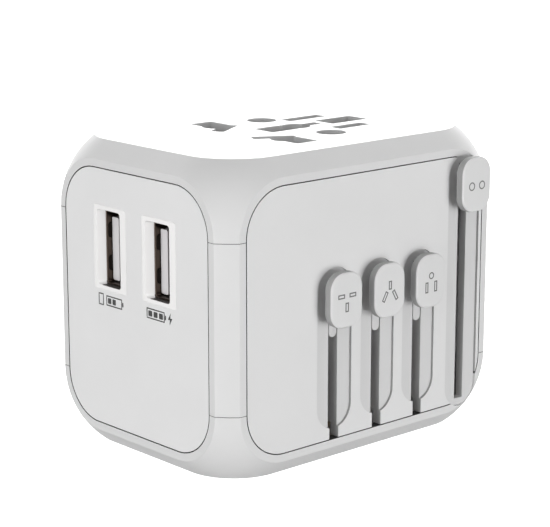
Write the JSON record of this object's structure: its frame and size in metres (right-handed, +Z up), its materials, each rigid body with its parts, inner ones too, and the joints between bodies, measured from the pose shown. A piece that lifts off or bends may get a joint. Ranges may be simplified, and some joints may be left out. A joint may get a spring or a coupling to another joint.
{
  "type": "universal travel adapter",
  "caption": "Chamfered block-shaped travel adapter with a multi-standard socket on top, USB ports on one end, and sliders on one side that push plug pins out of the bottom.",
  "frame": {"origin": "centre of the flat bottom (plug) face of the body", "axes": "+Z up to the socket face, +X along the body's length away from the USB ports, -Y out of the slider side"},
  "size_m": [0.0672, 0.0523, 0.0563],
  "materials": {
    "shell_plastic": "fine satin",
    "plate_plastic": "smooth",
    "panel_plastic": "fine satin",
    "deck_plastic": "matt",
    "screw_steel": "zinc plated",
    "bezel_plastic": "smooth",
    "port_steel": "nickel plated",
    "tongue_plastic": "matt",
    "circuit_board": "solder mask",
    "transformer_tape": "tape",
    "capacitor_can": "sleeved can",
    "holder_plastic": "matt",
    "contact_brass": "rolled",
    "fuse_ceramic": "ceramic",
    "clip_steel": "plated",
    "shutter_plastic": "matt",
    "spring_steel": "wire",
    "knob_plastic": "fine satin",
    "carriage_plastic": "matt",
    "pin_brass": "nickel brass"
  },
  "bodies": {
    "case": {"top_shell": "shell_plastic", "socket_plate": "plate_plastic", "bottom_shell": "shell_plastic", "mid_frame": "shell_plastic", "slider_panel": "panel_plastic", "usb_panel": "panel_plastic", "rear_panel": "panel_plastic", "end_panel": "panel_plastic", "chassis_deck": "deck_plastic", "case_screws": "screw_steel", "usb_bezel_a": "bezel_plastic", "usb_bezel_b": "bezel_plastic", "usb_shell_a": "port_steel", "usb_shell_b": "port_steel", "usb_tongue_a": "tongue_plastic", "usb_tongue_b": "tongue_plastic", "usb_board": "circuit_board", "transformer": "transformer_tape", "capacitor": "capacitor_can", "contact_holder": "holder_plastic", "live_contact": "contact_brass", "neutral_contact": "contact_brass", "earth_contact": "contact_brass", "fuse": "fuse_ceramic", "fuse_clips": "clip_steel", "uk_shutter_springs": "spring_steel", "live_shutter_spring": "spring_steel", "neutral_shutter_spring": "spring_steel"},
    "uk_slider": {"uk_knob": "knob_plastic", "uk_carriage": "carriage_plastic", "uk_pins": "pin_brass"},
    "aus_slider": {"aus_knob": "knob_plastic", "aus_carriage": "carriage_plastic", "aus_pins": "pin_brass"},
    "us_slider": {"us_knob": "knob_plastic", "us_carriage": "carriage_plastic", "us_pins": "pin_brass"},
    "eu_slider": {"eu_knob": "knob_plastic", "eu_collar": "carriage_plastic", "eu_pins": "pin_brass"},
    "uk_shutter_body": {"uk_shutter": "shutter_plastic"},
    "live_shutter_body": {"live_shutter": "shutter_plastic"},
    "neutral_shutter_body": {"neutral_shutter": "shutter_plastic"}
  },
  "joints": [
    {"name": "uk_slide", "type": "slide", "parent": "case", "child": "uk_slider", "axis": [0, 0, -1], "range_m": [0, 0.0183]},
    {"name": "aus_slide", "type": "slide", "parent": "case", "child": "aus_slider", "axis": [0, 0, -1], "range_m": [0, 0.0177]},
    {"name": "us_slide", "type": "slide", "parent": "case", "child": "us_slider", "axis": [0, 0, -1], "range_m": [0, 0.0177]},
    {"name": "eu_slide", "type": "slide", "parent": "case", "child": "eu_slider", "axis": [0, 0, -1], "range_m": [0, 0.037]},
    {"name": "uk_shutter_slide", "type": "slide", "parent": "case", "child": "uk_shutter_body", "axis": [-1, 0, 0], "range_m": [0, 0.0086], "stiffness_N_per_m": 60, "springref_m": -0.002, "deforming": ["uk_shutter_springs"]},
    {"name": "live_shutter_slide", "type": "slide", "parent": "case", "child": "live_shutter_body", "axis": [0, 1, 0], "range_m": [0, 0.0074], "stiffness_N_per_m": 60, "springref_m": -0.002, "deforming": ["live_shutter_spring"]},
    {"name": "neutral_shutter_slide", "type": "slide", "parent": "case", "child": "neutral_shutter_body", "axis": [0, -1, 0], "range_m": [0, 0.0074], "stiffness_N_per_m": 60, "springref_m": -0.002, "deforming": ["neutral_shutter_spring"]}
  ]
}
